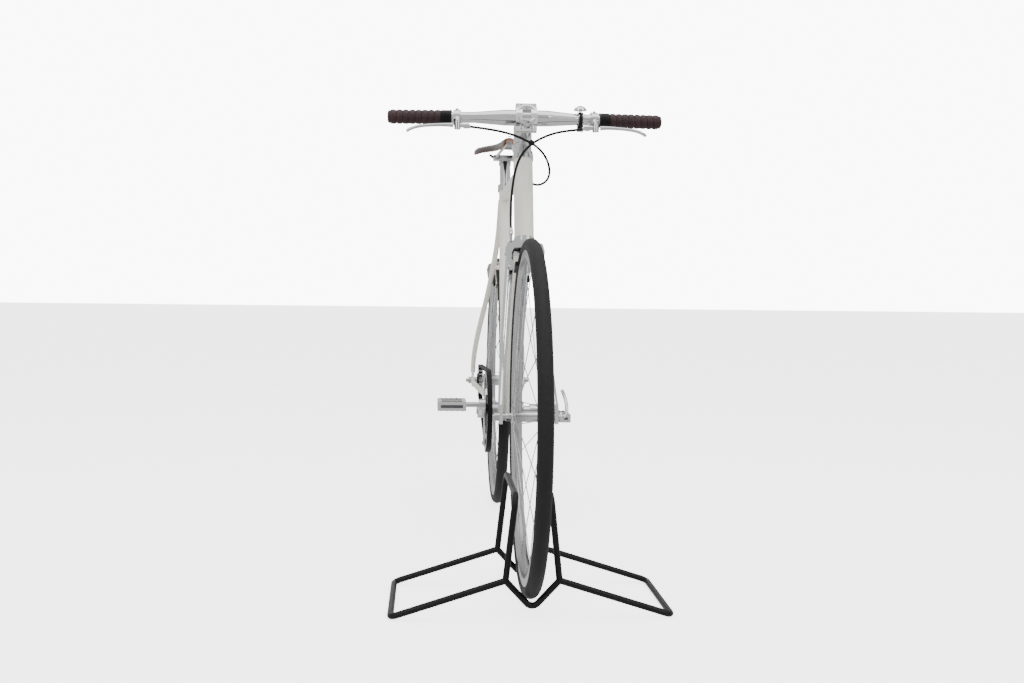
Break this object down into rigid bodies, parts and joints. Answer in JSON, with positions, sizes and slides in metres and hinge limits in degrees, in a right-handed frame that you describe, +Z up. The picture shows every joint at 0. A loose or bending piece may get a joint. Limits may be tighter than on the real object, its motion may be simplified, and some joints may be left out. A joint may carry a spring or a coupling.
{
  "type": "city bicycle",
  "caption": "Belt-driven city bicycle with a flat handlebar, leather saddle and grips and rim brakes, its front wheel held in a low black floor stand.",
  "frame": {"origin": "on the floor, halfway between the outer faces of the tyres and under the middle of the wheels", "axes": "+X forwards, +Y to the rider's left, +Z up"},
  "size_m": [1.696, 0.554, 0.9692],
  "materials": {
    "cream_paint": "gloss cream paint",
    "polished_alloy": "polished",
    "chrome_plate": "bright chrome plate",
    "bare_steel": "bright steel",
    "black_rubber": "dark grey tread rubber",
    "belt_rubber": "black toothed belt",
    "brown_leather": "dark brown waxed leather",
    "grip_leather": "dark brown stitched leather",
    "black_metal": "black powder coat",
    "black_plastic": "black housing"
  },
  "bodies": {
    "front_end": {"fork_crown": "chrome_plate", "fork_blades": "chrome_plate", "fork_dropouts": "chrome_plate", "front_axle": "bare_steel", "headset_spacers": "polished_alloy", "headset_top_cap": "polished_alloy", "stem": "polished_alloy", "stem_faceplate": "polished_alloy", "handlebar": "polished_alloy", "grip_left": "grip_leather", "grip_right": "grip_leather", "brake_lever_clamps": "polished_alloy", "brake_levers": "polished_alloy", "bell": "chrome_plate", "front_brake_arms": "polished_alloy", "front_brake_pads": "black_plastic", "front_brake_housing": "black_plastic", "rear_brake_housing": "black_plastic", "stand_wings": "black_metal", "stand_hoops": "black_metal", "stand_cradles": "black_metal"},
    "front_wheel": {"front_tyre": "black_rubber", "front_rim": "polished_alloy", "front_spokes": "bare_steel", "front_hub": "polished_alloy"},
    "frame": {"head_tube": "cream_paint", "headset_cups": "polished_alloy", "top_tube": "cream_paint", "down_tube": "cream_paint", "seat_tube": "cream_paint", "bottom_bracket": "cream_paint", "chain_stays": "cream_paint", "seat_stays": "cream_paint", "rear_dropouts": "cream_paint", "seat_clamp": "polished_alloy", "seatpost": "polished_alloy", "saddle_rails": "chrome_plate", "saddle": "brown_leather", "rear_brake_arms": "polished_alloy", "rear_brake_pads": "black_plastic", "rear_axle": "bare_steel", "drive_belt": "belt_rubber"},
    "rear_wheel": {"rear_tyre": "black_rubber", "rear_rim": "polished_alloy", "rear_spokes": "bare_steel", "rear_hub": "polished_alloy"},
    "rear_sprocket": {"rear_sprocket": "bare_steel"},
    "crankset": {"front_sprocket": "bare_steel", "crank_arm_right": "polished_alloy", "crank_arm_left": "polished_alloy", "pedal_axles": "bare_steel"},
    "pedal_left": {"pedal_left": "polished_alloy"},
    "pedal_right": {"pedal_right": "polished_alloy"}
  },
  "joints": [
    {"name": "front_wheel_spin", "type": "hinge", "parent": "front_end", "child": "front_wheel", "pos_m": [0.509, 0, 0.354], "axis": [0, 1, 0], "continuous": true},
    {"name": "steering", "type": "hinge", "parent": "front_end", "child": "frame", "pos_m": [0.32776, 0, 0.77918], "axis": [-0.3007, 0, 0.9537], "range_deg": [-60, 60], "deforming": ["rear_brake_housing"]},
    {"name": "rear_wheel_spin", "type": "hinge", "parent": "frame", "child": "rear_wheel", "pos_m": [-0.509, 0, 0.339], "axis": [0, 1, 0], "continuous": true},
    {"name": "crank_spin", "type": "hinge", "parent": "frame", "child": "crankset", "pos_m": [-0.08549, 0, 0.3], "axis": [0, 1, 0], "continuous": true},
    {"name": "rear_sprocket_spin", "type": "hinge", "parent": "frame", "child": "rear_sprocket", "pos_m": [-0.509, 0, 0.339], "axis": [0, 1, 0], "continuous": true},
    {"name": "pedal_left_spin", "type": "hinge", "parent": "crankset", "child": "pedal_left", "pos_m": [-0.25237, 0.138, 0.26756], "axis": [0, 1, 0], "continuous": true},
    {"name": "pedal_right_spin", "type": "hinge", "parent": "crankset", "child": "pedal_right", "pos_m": [0.08138, -0.138, 0.33244], "axis": [0, 1, 0], "continuous": true}
  ],
  "couplings": [
    {"joint": "rear_sprocket_spin", "follows": "crank_spin", "ratio": 2.3333}
  ]
}
